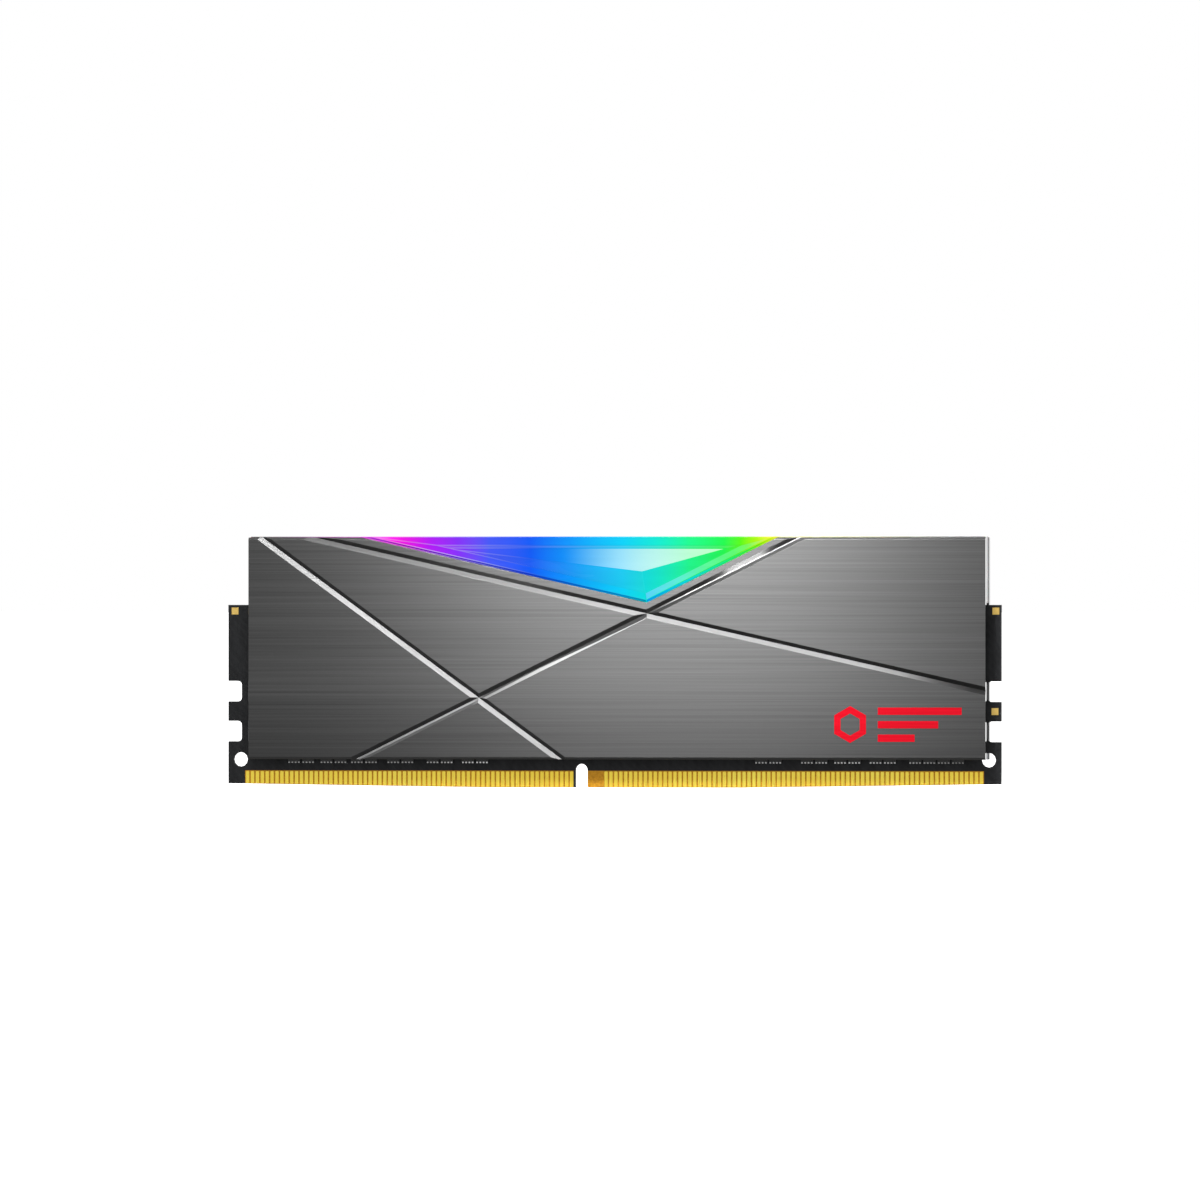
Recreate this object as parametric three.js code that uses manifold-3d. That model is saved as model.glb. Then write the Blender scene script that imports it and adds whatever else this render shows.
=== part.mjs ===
// Desktop memory module (288 contacts) with a two-plate heat spreader and a light guide along its top.
// Millimetres. X runs along the module, the front looks along -Y and Z is up. The origin is the middle
// of the connector edge, at its lowest point and halfway through the board.
import * as THREE from "three";
import { ConvexGeometry } from "three/addons/geometries/ConvexGeometry.js";
import { mergeVertices } from "three/addons/utils/BufferGeometryUtils.js";
import Module from "manifold-3d";

// Circuit board
const BOARD_LENGTH = 133.35;
const BOARD_HEIGHT = 31.25;
const BOARD_THICK = 1.4;
const EDGE_FLAT_HALF = 22; // the connector edge is level this far either side of the middle
const EDGE_RISE = 0.64; // and climbs this much by the board's ends
const KEY_X = -5.55;
const KEY_WIDTH = 2.15;
const KEY_TOP = 4.05;
const NOTCH_DEPTH = 2.335;
const NOTCH_RADIUS = 0.75;
const NOTCH_HEIGHT = 3.5;
const NOTCH_BOTTOMS = [7.85, 14.7];
const HOLE_X = 64.55;
const HOLE_Z = 4.75;
const HOLE_DIAMETER = 2.5;

// Edge contacts and gold pads
const CONTACT_PITCH = 0.85;
const CONTACT_WIDTH = 0.6;
const CONTACT_TOP = 2.76;
const CONTACT_RAIL = 0.1; // strip that joins the contacts of a group along their top ends
const CONTACT_INSET = 0.08;
const CONTACT_GROUPS = { left: { first: -63.325, count: 67 }, right: { first: -1.275, count: 77 } };
const PLATING = 0.05;
const SQUARE_PAD = 1.2;

// Heat spreader plates
const MODULE_THICK = 8;
const PLATE_THICK = 1.95;
const PLATE_LEFT = -62.7;
const PLATE_RIGHT = 64.35;
const PLATE_BOTTOM = 4.83;
const PLATE_TOP = 42.8;
const PLATE_BEVEL = 0.35;
const GROOVE_DEPTH = 0.55;
const GROOVE_UPPER = 0.62; // width of the facet above the groove's bottom line
const GROOVE_LOWER = 0.78; // width of the facet below it
const LOW_CROSSING = new THREE.Vector2(-22.9, 15.4);
const HIGH_CROSSING = new THREE.Vector2(6.1, 29.8);
const STEEP_SLOPE = -0.7335;
const SHALLOW_SLOPE = -0.227;
const RISING_SLOPE = (HIGH_CROSSING.y - LOW_CROSSING.y) / (HIGH_CROSSING.x - LOW_CROSSING.x);

// Light guide
const WINDOW_ABOVE_CROSSING = 1.8;
const WINDOW_GAP = 0.12;
const GUIDE_TOP = 42.95;
const GUIDE_BOTTOM = 31.55;
const GUIDE_END_INSET = 0.1;
const LENS_EDGE = 0.55; // the lens edge lies this far behind the plate's face
const LENS_FACE = 0.15; // and its raised face this far
const LENS_BEVEL = 1.0;

// Parts on the board
const CHIP = { width: 7.5, height: 11, thick: 1.0, z: 17 };
const CHIP_CENTRES = [12.5, 26.7, 40.9, 55.1];
const CHIP_EDGE = 0.12;
const FRONT_PAD = { left: -60.5, right: 60.5, bottom: 10.5, top: 23.5 };
const BACK_PAD = { left: -62.5, right: 64.2, bottom: 4.95, top: 29.6 };
const ARRAY = { width: 2.05, height: 1.0, thick: 0.4, bottom: 4.15, terminals: 4, gap: 0.2, notch: 0.16 };
const ARRAY_PAIR_PITCH = 2.45;
const ARRAY_PAIRS = [-54, -48.4, -43.1, -36.8, -30, -23.9, 26.7, 34.6, 40.3, 46.4, 53.2, 58.1];
const LED = { width: 3.0, height: 0.9, thick: 1.0, bottom: 30.2 };
const LED_CENTRES = [-46, -26, -6, 14, 34];
const SPD = { width: 3.0, height: 2.0, thick: 0.75, x: -1.2, z: 9.5 };
const CONTROLLER = { width: 5.0, height: 5.0, thick: 0.85, x: 0, z: 25.5 };

const CLEARANCE = 0.02; // gap kept between flat faces that rest on each other
const CUTTER_LENGTH = 220;
const CUTTER_MARGIN = 1;
const ARC_STEPS = 6;
const HOLE_STEPS = 12;

const BOARD_FACE = BOARD_THICK / 2;
const PLATE_OUTER = MODULE_THICK / 2;
const PLATE_INNER = PLATE_OUTER - PLATE_THICK;
const OUTWARD = new THREE.Vector3(0, -1, 0);

const material = (color, roughness, metalness = 0) =>
  new THREE.MeshStandardMaterial({ color, roughness, metalness });
const MATERIALS = {
  board: material(0x26282a, 0.6),
  gold: material(0xe0c050, 0.3, 1),
  plate: material(0x77787a, 0.35, 1),
  guide: material(0x20b8e8, 0.25),
  pad: material(0xcfd1d2, 0.9),
  chip: material(0x17181a, 0.5),
  resistor: material(0x303238, 0.5),
  led: material(0xf4f4ee, 0.4),
};

const wasm = await Module();
wasm.setup();

// A closed geometry as a manifold-3d solid.
function solidOf(geometry) {
  const bare = new THREE.BufferGeometry();
  bare.setAttribute("position", geometry.getAttribute("position"));
  bare.setIndex(geometry.index);
  const merged = mergeVertices(bare, 1e-4);
  const vertProperties = merged.attributes.position.array;
  const triVerts = new Uint32Array(merged.index.array);
  return new wasm.Manifold(new wasm.Mesh({ numProp: 3, vertProperties, triVerts }));
}

// A manifold-3d solid as a geometry.
function geometryOf(solid) {
  const { vertProperties, triVerts } = solid.getMesh();
  const geometry = new THREE.BufferGeometry();
  geometry.setAttribute("position", new THREE.BufferAttribute(new Float32Array(vertProperties), 3));
  geometry.setIndex(new THREE.BufferAttribute(triVerts, 1));
  geometry.computeVertexNormals();
  return geometry;
}

// An XZ outline extruded from the plane y = near towards the front by depth.
function slab(shape, near, depth, bevel = 0) {
  const geometry = new THREE.ExtrudeGeometry(shape, {
    depth: depth - 2 * bevel,
    curveSegments: ARC_STEPS,
    bevelEnabled: bevel > 0,
    bevelThickness: bevel,
    bevelSize: bevel,
    bevelOffset: -bevel,
    bevelSegments: 1,
  });
  geometry.rotateX(Math.PI / 2);
  geometry.translate(0, near - bevel, 0);
  return geometry;
}

// A rectangle in X and Z.
function rectangle(left, right, bottom, top) {
  return new THREE.Shape([
    new THREE.Vector2(left, bottom),
    new THREE.Vector2(right, bottom),
    new THREE.Vector2(right, top),
    new THREE.Vector2(left, top),
  ]);
}

// Height of the connector edge at x.
function edgeHeight(x) {
  const past = Math.max(0, Math.abs(x) - EDGE_FLAT_HALF);
  return (EDGE_RISE * past) / (BOARD_LENGTH / 2 - EDGE_FLAT_HALF);
}

// One latch notch, drawn on the right end (side 1) or the left end (side -1), in the direction of travel.
function latchNotch(outline, side, bottom) {
  const end = (side * BOARD_LENGTH) / 2;
  const inner = end - side * NOTCH_DEPTH;
  const round = inner + side * NOTCH_RADIUS;
  const [from, to] = side > 0 ? [bottom, bottom + NOTCH_HEIGHT] : [bottom + NOTCH_HEIGHT, bottom];
  const step = Math.sign(to - from) * NOTCH_RADIUS;
  outline.lineTo(end, from);
  outline.lineTo(round, from);
  outline.quadraticCurveTo(inner, from, inner, from + step);
  outline.lineTo(inner, to - step);
  outline.quadraticCurveTo(inner, to, round, to);
  outline.lineTo(end, to);
}

function boardOutline() {
  const half = BOARD_LENGTH / 2;
  const keyRadius = KEY_WIDTH / 2;
  const outline = new THREE.Shape();
  outline.moveTo(-half, EDGE_RISE);
  outline.lineTo(-EDGE_FLAT_HALF, 0);
  outline.lineTo(KEY_X - keyRadius, 0);
  outline.lineTo(KEY_X - keyRadius, KEY_TOP - keyRadius);
  outline.absarc(KEY_X, KEY_TOP - keyRadius, keyRadius, Math.PI, 0, true);
  outline.lineTo(KEY_X + keyRadius, 0);
  outline.lineTo(EDGE_FLAT_HALF, 0);
  outline.lineTo(half, EDGE_RISE);
  NOTCH_BOTTOMS.forEach((bottom) => latchNotch(outline, 1, bottom));
  outline.lineTo(half, BOARD_HEIGHT);
  outline.lineTo(-half, BOARD_HEIGHT);
  [...NOTCH_BOTTOMS].reverse().forEach((bottom) => latchNotch(outline, -1, bottom));
  return outline;
}

function boardHole(x) {
  const points = [];
  for (let i = 0; i < HOLE_STEPS; i++) {
    const angle = (2 * Math.PI * i) / HOLE_STEPS;
    points.push(
      new THREE.Vector2(
        x + (HOLE_DIAMETER / 2) * Math.cos(angle),
        HOLE_Z + (HOLE_DIAMETER / 2) * Math.sin(angle),
      ),
    );
  }
  return new THREE.Path(points);
}

function board() {
  const outline = boardOutline();
  outline.holes = [boardHole(-HOLE_X), boardHole(HOLE_X)];
  return slab(outline, BOARD_FACE, BOARD_THICK);
}

// A group of edge contacts: one finger for each contact, joined by the rail at their top ends.
function contactOutline({ first, count }) {
  const half = CONTACT_WIDTH / 2;
  const railBottom = CONTACT_TOP - CONTACT_RAIL;
  const last = first + (count - 1) * CONTACT_PITCH;
  const points = [new THREE.Vector2(last + half, CONTACT_TOP), new THREE.Vector2(first - half, CONTACT_TOP)];
  for (let i = 0; i < count; i++) {
    const left = first + i * CONTACT_PITCH - half;
    const right = left + CONTACT_WIDTH;
    if (i > 0) points.push(new THREE.Vector2(left, railBottom));
    points.push(new THREE.Vector2(left, edgeHeight(left) + CONTACT_INSET));
    points.push(new THREE.Vector2(right, edgeHeight(right) + CONTACT_INSET));
    if (i < count - 1) points.push(new THREE.Vector2(right, railBottom));
  }
  return new THREE.Shape(points);
}

function contacts(group) {
  return slab(contactOutline(group), -BOARD_FACE - CLEARANCE, PLATING);
}

function squarePad(x, z) {
  const half = SQUARE_PAD / 2;
  return slab(rectangle(x - half, x + half, z - half, z + half), -BOARD_FACE - CLEARANCE, PLATING);
}

// Plate outline with the triangular window open at its top edge.
function plateOutline() {
  const windowBottom = HIGH_CROSSING.y + WINDOW_ABOVE_CROSSING;
  const rise = PLATE_TOP - windowBottom;
  const outline = new THREE.Shape();
  outline.moveTo(PLATE_LEFT, PLATE_BOTTOM);
  outline.lineTo(PLATE_RIGHT, PLATE_BOTTOM);
  outline.lineTo(PLATE_RIGHT, PLATE_TOP);
  outline.lineTo(HIGH_CROSSING.x + rise / RISING_SLOPE, PLATE_TOP);
  outline.lineTo(HIGH_CROSSING.x, windowBottom);
  outline.lineTo(HIGH_CROSSING.x + rise / SHALLOW_SLOPE, PLATE_TOP);
  outline.lineTo(PLATE_LEFT, PLATE_TOP);
  return outline;
}

// A long cutter for the plate's outer face. Its profile runs across the cut in the direction of
// across, a unit vector in X and Z, and outwards from the face.
function faceCutter(profile, middle, across) {
  const along = new THREE.Vector3().crossVectors(across, OUTWARD);
  const start = new THREE.Vector3(middle.x, -PLATE_OUTER, middle.y);
  start.addScaledVector(along, -CUTTER_LENGTH / 2);
  const shape = new THREE.Shape(profile);
  const geometry = new THREE.ExtrudeGeometry(shape, { depth: CUTTER_LENGTH, bevelEnabled: false });
  geometry.applyMatrix4(new THREE.Matrix4().makeBasis(across, OUTWARD, along).setPosition(start));
  return solidOf(geometry);
}

// A V groove through a point of the face, with its bottom line at the given slope.
function groove(through, slope) {
  const angle = Math.atan(slope);
  const across = new THREE.Vector3(-Math.sin(angle), 0, Math.cos(angle));
  const widen = (GROOVE_DEPTH + CUTTER_MARGIN) / GROOVE_DEPTH;
  const profile = [
    new THREE.Vector2(0, -GROOVE_DEPTH),
    new THREE.Vector2(GROOVE_UPPER * widen, CUTTER_MARGIN),
    new THREE.Vector2(-GROOVE_LOWER * widen, CUTTER_MARGIN),
  ];
  return faceCutter(profile, through, across);
}

// A 45 degree bevel along one edge of the face; across points from the plate out over that edge.
function edgeBevel(middle, across) {
  const profile = [
    new THREE.Vector2(-PLATE_BEVEL - CUTTER_MARGIN, CUTTER_MARGIN),
    new THREE.Vector2(CUTTER_MARGIN, -PLATE_BEVEL - CUTTER_MARGIN),
    new THREE.Vector2(CUTTER_MARGIN, CUTTER_MARGIN),
  ];
  return faceCutter(profile, middle, across);
}

function plate() {
  const middle = new THREE.Vector2((PLATE_LEFT + PLATE_RIGHT) / 2, (PLATE_BOTTOM + PLATE_TOP) / 2);
  const cutters = [
    groove(LOW_CROSSING, STEEP_SLOPE),
    groove(LOW_CROSSING, RISING_SLOPE),
    groove(HIGH_CROSSING, SHALLOW_SLOPE),
    edgeBevel(new THREE.Vector2(middle.x, PLATE_TOP), new THREE.Vector3(0, 0, 1)),
    edgeBevel(new THREE.Vector2(middle.x, PLATE_BOTTOM), new THREE.Vector3(0, 0, -1)),
    edgeBevel(new THREE.Vector2(PLATE_RIGHT, middle.y), new THREE.Vector3(1, 0, 0)),
    edgeBevel(new THREE.Vector2(PLATE_LEFT, middle.y), new THREE.Vector3(-1, 0, 0)),
  ];
  const blank = solidOf(slab(plateOutline(), -PLATE_INNER, PLATE_THICK));
  return geometryOf(cutters.reduce((solid, cutter) => solid.subtract(cutter), blank));
}

// Corners of the lens outline, drawn in from the window by inset: bottom, right and left.
function lensCorners(inset) {
  const bottom = HIGH_CROSSING.y + WINDOW_ABOVE_CROSSING;
  const left = Math.atan(SHALLOW_SLOPE);
  const right = Math.atan(RISING_SLOPE);
  const leftLift = inset / Math.cos(left);
  const rightLift = inset / Math.cos(right);
  const x = (leftLift - rightLift) / (RISING_SLOPE - SHALLOW_SLOPE);
  const z = bottom + leftLift + SHALLOW_SLOPE * x;
  return [
    new THREE.Vector2(HIGH_CROSSING.x + x, z),
    new THREE.Vector2(HIGH_CROSSING.x + (GUIDE_TOP - bottom - rightLift) / RISING_SLOPE, GUIDE_TOP),
    new THREE.Vector2(HIGH_CROSSING.x + (GUIDE_TOP - bottom - leftLift) / SHALLOW_SLOPE, GUIDE_TOP),
  ];
}

// The raised three-sided lens that fills one window; side is -1 at the front and 1 at the back.
function lens(side) {
  const levels = [
    [0, WINDOW_GAP],
    [PLATE_OUTER - LENS_EDGE, WINDOW_GAP],
    [PLATE_OUTER - LENS_FACE, WINDOW_GAP + LENS_BEVEL],
  ];
  const points = levels.flatMap(([y, inset]) =>
    lensCorners(inset).map((corner) => new THREE.Vector3(corner.x, side * y, corner.y)),
  );
  return solidOf(new ConvexGeometry(points));
}

function lightGuide() {
  const depth = 2 * (PLATE_INNER - CLEARANCE);
  const outline = rectangle(
    PLATE_LEFT + GUIDE_END_INSET,
    PLATE_RIGHT - GUIDE_END_INSET,
    GUIDE_BOTTOM,
    GUIDE_TOP,
  );
  const bar = solidOf(slab(outline, depth / 2, depth));
  return geometryOf(bar.add(lens(-1)).add(lens(1)));
}

// A block part soldered to the front of the board, centred on x and z.
function boardBlock({ width, height, thick }, x, z, bevel = 0) {
  const outline = rectangle(x - width / 2, x + width / 2, z - height / 2, z + height / 2);
  return slab(outline, -BOARD_FACE - CLEARANCE, thick, bevel);
}

// Four resistors in one block, with a gap between the solder terminals on both long sides.
function resistorArray(x) {
  const { width, height, thick, bottom, terminals, gap, notch } = ARRAY;
  const left = x - width / 2;
  const top = bottom + height;
  const pitch = (width + gap) / terminals;
  const below = [];
  const above = [];
  for (let i = 0; i < terminals; i++) {
    const from = left + i * pitch;
    const to = from + pitch - gap;
    if (i > 0) below.push(new THREE.Vector2(from, bottom + notch));
    below.push(new THREE.Vector2(from, bottom), new THREE.Vector2(to, bottom));
    if (i < terminals - 1) below.push(new THREE.Vector2(to, bottom + notch));
  }
  below.forEach((point) => above.unshift(new THREE.Vector2(point.x, top + bottom - point.y)));
  return slab(new THREE.Shape([...below, ...above]), -BOARD_FACE - CLEARANCE, thick);
}

// The front thermal pad lies between the chips and the front plate.
function frontPad() {
  const { left, right, bottom, top } = FRONT_PAD;
  const near = BOARD_FACE + CLEARANCE + CHIP.thick + CLEARANCE;
  return slab(rectangle(left, right, bottom, top), -near, PLATE_INNER - CLEARANCE - near);
}

// The back thermal pad fills the space between the bare back of the board and the back plate.
function backPad() {
  const { left, right, bottom, top } = BACK_PAD;
  const far = PLATE_INNER - CLEARANCE;
  return slab(rectangle(left, right, bottom, top), far, far - BOARD_FACE - CLEARANCE);
}

const root = new THREE.Group();

function add(name, geometry, look) {
  const mesh = new THREE.Mesh(geometry, look);
  mesh.name = name;
  root.add(mesh);
  return mesh;
}

// Adds a piece that is made for the front and mirrored to the back of the board.
function addBack(name, geometry, look) {
  add(name, geometry, look).scale.y = -1;
}

add("circuit_board", board(), MATERIALS.board);

for (const [side, group] of Object.entries(CONTACT_GROUPS)) {
  const geometry = contacts(group);
  add(`front_contacts_${side}`, geometry, MATERIALS.gold);
  addBack(`back_contacts_${side}`, geometry, MATERIALS.gold);
}

add("corner_pad_left", squarePad(-65.5, 30.2), MATERIALS.gold);
add("corner_pad_right", squarePad(65.8, 30.2), MATERIALS.gold);
add("tab_pad_right", squarePad(65.65, 13.05), MATERIALS.gold);

const plateGeometry = plate();
add("front_plate", plateGeometry, MATERIALS.plate);
addBack("back_plate", plateGeometry, MATERIALS.plate);

add("light_guide", lightGuide(), MATERIALS.guide);

add("front_thermal_pad", frontPad(), MATERIALS.pad);
add("back_thermal_pad", backPad(), MATERIALS.pad);

[...CHIP_CENTRES.map((x) => -x).reverse(), ...CHIP_CENTRES].forEach((x, i) => {
  add(`dram_chip_${i + 1}`, boardBlock(CHIP, x, CHIP.z, CHIP_EDGE), MATERIALS.chip);
});

ARRAY_PAIRS.forEach((x, i) => {
  add(`resistor_array_${2 * i + 1}`, resistorArray(x - ARRAY_PAIR_PITCH / 2), MATERIALS.resistor);
  add(`resistor_array_${2 * i + 2}`, resistorArray(x + ARRAY_PAIR_PITCH / 2), MATERIALS.resistor);
});

LED_CENTRES.forEach((x, i) => {
  const geometry = boardBlock(LED, x, LED.bottom + LED.height / 2);
  add(`front_led_${i + 1}`, geometry, MATERIALS.led);
  addBack(`back_led_${i + 1}`, geometry, MATERIALS.led);
});

add("spd_memory_chip", boardBlock(SPD, SPD.x, SPD.z, CHIP_EDGE), MATERIALS.chip);
add("light_controller", boardBlock(CONTROLLER, CONTROLLER.x, CONTROLLER.z, CHIP_EDGE), MATERIALS.chip);

export default root;
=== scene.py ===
import math

import bmesh
import bpy
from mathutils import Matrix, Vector


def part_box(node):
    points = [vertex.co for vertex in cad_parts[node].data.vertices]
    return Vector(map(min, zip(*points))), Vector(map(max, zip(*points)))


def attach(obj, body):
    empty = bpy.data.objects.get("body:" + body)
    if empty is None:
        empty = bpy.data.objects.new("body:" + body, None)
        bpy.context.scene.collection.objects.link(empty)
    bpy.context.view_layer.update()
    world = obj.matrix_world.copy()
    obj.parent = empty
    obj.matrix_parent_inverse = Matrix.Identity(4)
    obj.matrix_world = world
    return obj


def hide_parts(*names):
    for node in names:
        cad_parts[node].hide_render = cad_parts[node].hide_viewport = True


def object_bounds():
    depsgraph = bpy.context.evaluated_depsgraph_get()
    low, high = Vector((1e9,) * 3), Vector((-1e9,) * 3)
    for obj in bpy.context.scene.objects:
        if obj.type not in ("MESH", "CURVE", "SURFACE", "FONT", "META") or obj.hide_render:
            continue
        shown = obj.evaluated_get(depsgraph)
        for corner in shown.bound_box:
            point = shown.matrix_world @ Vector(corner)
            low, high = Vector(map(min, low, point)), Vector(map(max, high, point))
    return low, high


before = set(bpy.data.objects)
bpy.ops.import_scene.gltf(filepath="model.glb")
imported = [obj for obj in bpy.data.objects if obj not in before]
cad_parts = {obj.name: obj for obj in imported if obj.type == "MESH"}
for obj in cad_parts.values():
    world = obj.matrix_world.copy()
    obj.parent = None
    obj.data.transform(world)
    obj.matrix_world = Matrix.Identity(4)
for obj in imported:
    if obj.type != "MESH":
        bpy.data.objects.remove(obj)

# A desktop memory module: 288 edge contacts, a brushed two-plate heat spreader and a light guide along
# its top. The frame is in metres: X along the module, the front looks along -Y, Z up, and the origin is
# the middle of the connector edge. Sizes below are in millimetres unless their name says otherwise.
MM = 0.001
CAD_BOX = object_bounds()

SMOOTH_BELOW = 30  # edges flatter than this angle, in degrees, are shaded smooth

# Camera
VIEW_AZIMUTH = math.radians(7.6)  # turned this far towards the module's right-hand end
VIEW_LENS = 500
VIEW_SENSOR = 36
VIEW_WIDTH = 205.37  # width of the view at the module
VIEW_CENTRE_ALONG = -2.40  # the middle of the view, across it
VIEW_CENTRE_UP = 32.09  # and up from the connector edge

# Heat spreader plates
FACE_SINK = 0.02  # the bare face lies this far inside the box, so that the print on it stays inside too
PLATE_EDGE = 0.05  # sizes called EDGE are the widths of rounded edges
LOW_CROSSING = (-22.9, 15.4)  # X and Z where the steep and the rising groove cross
HIGH_CROSSING = (6.1, 29.8)  # and where the rising and the shallow groove cross
STEEP_SLOPE = -0.7335
SHALLOW_SLOPE = -0.227
RISING_SLOPE = (HIGH_CROSSING[1] - LOW_CROSSING[1]) / (HIGH_CROSSING[0] - LOW_CROSSING[0])
GROOVE_LOWER = 0.78  # width of a groove's lower wall
PLATE_BEVEL = 0.35  # the CAD's bevel on the plates' end edges
PLATE_MIDDLE = 0.825  # X of the plates' middle
FOOT_PAINTED_SHADE = 0.74  # painted shade: brightness of the plates' colour along their lower edge
FOOT_RISE = (6, 20)  # heights between which it rises to full
BRUSH_SCALE = 10  # brush coordinates to the metre
CLEAN_UP = 0.002  # corners closer than this are joined
CLEAN_UP_ANGLE = 0.5  # and faces that meet at less than this angle, in degrees, become one
SURFACE_TOLERANCE = 0.01  # corners this near a plate's outer face count as on it

# Light guide
WINDOW_ABOVE_CROSSING = 1.8  # from the high crossing up to the window's lowest corner
BAR_HALF = 2.03  # half the bar's thickness
BAR_EDGE = 0.1
BAR_END = 63.3  # the bar's end faces lie further than this from the plates' middle
BAR_GLOW_FROM = (-62, -34)  # the bar's glow grows between these X
BAR_GLOW_TO = (24, 62)  # and fades between these
BAR_GLOW_RISE = (36, 43)  # and is stronger towards the top
LENS_BACK = 1.9  # distance of the lens's flat back from the middle of the board
LENS_OUTER = (0.12, 3.45)  # the lens's outline: inset from the window, and distance from the middle
LENS_BEVEL = (0.5, 3.7)  # the same where the bevel meets the rim
LENS_CREASE = (1.6, 3.85)  # and where the rim meets the field
LENS_HEART_DEPTH = 3.6
LENS_HEART = [(5.3, 36.9), (20.0, 40.9), (-29.5, 41.0)]  # corners of the pale triangle, a painted highlight
LENS_TOP_DROPS = (0.0, 0.08, 1.5)  # how far below the guide's top the outline, bevel and crease end
LENS_FACET_MATERIALS = (0, 0, 3, 6)  # material of each band's right facet; its top and left ones follow
LENS_HEART_MATERIAL = 9
LENS_EDGE = 0.09
LENS_FACET_ANGLE = 4  # facets that meet at more than this angle, in degrees, get a rounded crease

# Board and contacts
EDGE_FLAT_HALF = 22  # the connector edge is level this far either side of the middle
EDGE_RISE = 0.64  # and climbs this much by the board's ends
BOARD_HALF_LENGTH = 66.675
CONTACT_WIDTH = 0.6
CONTACT_INSET = 0.08  # from the connector edge up to the contacts
CONTACT_COUNTS = {"left": 67, "right": 77}
CONTACT_CORNER = 0.14  # radius of a contact's top corners
CONTACT_EDGE = 0.018
ARC_STEPS = 4
LAMINATE_TOP = (2.84, 2.9)  # the solder mask starts between these heights
LAMINATE_LEFT = (-63.75, -6.9)  # X of the bare laminate left and right of the key
LAMINATE_RIGHT = (-4.46, 63.75)
PAD_EDGE = 0.02
SILICONE_EDGE = 0.08
CHIP_EDGE = 0.03
LED_EDGE = 0.06
SQUARE_EDGE_ANGLE = 40  # on square-edged pieces, edges sharper than this, in degrees, are rounded
WELD_GAP = 0.001  # the corners of a kept CAD node closer than this are joined before its edges are rounded

# Resistor arrays
ARRAY_COUNT = 24
TERMINALS = 4
TERMINAL_GAP = 0.28  # between neighbouring terminals
TERMINAL_INSET = 0.04  # the end terminals start this far in from the ends of the block
TERMINAL_REACH = 0.26  # height of a terminal
ARRAY_SKIN = 0.03  # the terminals stand this far proud of the block's face, and twice it at its sides
ARRAY_EDGE = 0.04

# Printed mark
MARK_LEFT = 38.0
MARK_RIGHT = 60.3
MARK_BOTTOM = 7.7
MARK_TOP = 14.0
MARK_STROKE = 1.25
MARK_GAP = 1.6  # between the hexagon and the bars
MARK_BAR_DROP = 0.25  # the first bar starts this far below the hexagon's top
MARK_BAR_PITCH = 2.3
MARK_BAR_SHARES = (1.0, 0.72, 0.44)  # each bar's share of the full length

# Studio, in metres, watts and degrees
FLOOR_HALF = 40.0
FLOOR_DROP = 0.0001
FRONT_SOFTBOX = (-0.016, -0.13, 0.19)
BACK_SOFTBOX = (0.040, 0.13, 0.19)
SOFTBOX_TARGET = (0.006, 0.0, 0.075)
SOFTBOX_SIZE = (0.07, 0.05)
SOFTBOX_POWER = 0.115
SOFTBOX_SPREAD = 44
ROOM_LIGHT = 0.85  # strength of the soft room away from its brighter parts

# Colours along the light guide: X of the stop, then red, green and blue as they look on a screen
GLOW = [
    (-40.0, 1.00, 0.28, 0.97),
    (-38.0, 1.00, 0.12, 0.92),
    (-35.5, 0.90, 0.06, 0.88),
    (-31.0, 0.68, 0.10, 0.95),
    (-26.5, 0.52, 0.18, 0.96),
    (-21.0, 0.26, 0.34, 0.95),
    (-14.0, 0.04, 0.35, 0.95),
    (-7.0, 0.01, 0.58, 0.96),
    (2.0, 0.01, 0.80, 0.95),
    (8.0, 0.04, 0.89, 0.80),
    (13.5, 0.10, 0.95, 0.54),
    (19.5, 0.12, 0.96, 0.30),
    (22.3, 0.34, 0.96, 0.06),
    (25.0, 0.68, 0.96, 0.03),
    (27.5, 0.95, 0.98, 0.22),
]
GLOW_PIVOT = 30.0  # X about which the colours of the right-hand facets are stretched
GLOW_WHITE = (0.93, 0.98, 0.98, 1)  # the white of the light guide's painted highlights and glints, scene-linear
UNLIT_SHARE = (0.05, 0.05, 0.05, 1)  # how much of the glow's colour the unlit acrylic has

# Tones of the groove walls along X: X, then grey as it looks on a screen. These are painted light and
# shade:
# the upper walls' near black is painted shade with painted highlights where it brightens, and the lower
# walls' tones are painted reflections. The rising groove's lower wall shows two strips of different
# brightness; its inner strip's share of the width also changes along X.
TONE_REACH = 70.0  # the tones are given between minus and plus this X
STEEP_UPPER = [(-62, 0.15), (62, 0.15)]
STEEP_LOWER = [(-60, 0.72), (-45, 0.70), (-28, 0.63), (-16, 0.62), (-10, 0.58)]
RISING_UPPER = [(-60, 0.15), (16, 0.2), (19, 0.45), (20.5, 1.0), (25.5, 1.0), (27.2, 0.4), (29, 0.25)]
RISING_LOWER_INNER = [
    (-42, 0.56),
    (-24, 0.60),
    (-22, 0.26),
    (5.9, 0.16),
    (6.6, 0.16),
    (9, 0.38),
    (13, 0.66),
    (27, 0.66),
]
RISING_LOWER_OUTER = [
    (-42, 0.31),
    (-24, 0.31),
    (-22, 0.48),
    (-10, 0.64),
    (5.8, 0.54),
    (6.2, 0.10),
    (16, 0.12),
    (26, 0.20),
]
RISING_INNER_SHARE = [
    (-42, 0.42),
    (-24, 0.42),
    (-22, 0.50),
    (-12, 0.25),
    (-3, 0.66),
    (5.8, 0.88),
    (6.4, 0.26),
    (27, 0.26),
]
ONE_STRIP = [(-70, 0.0), (70, 0.0)]
SHALLOW_UPPER = [
    (-55, 0.16),
    (-36, 0.20),
    (-28, 0.27),
    (-20, 0.34),
    (-14, 0.35),
    (-8, 0.20),
    (0, 0.14),
    (60, 0.12),
]
SHALLOW_LOWER = [
    (-50, 0.33),
    (-30, 0.345),
    (-12, 0.38),
    (0, 0.44),
    (30, 0.49),
    (42, 0.54),
    (50, 0.49),
    (56, 0.27),
    (62, 0.14),
]

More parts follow.
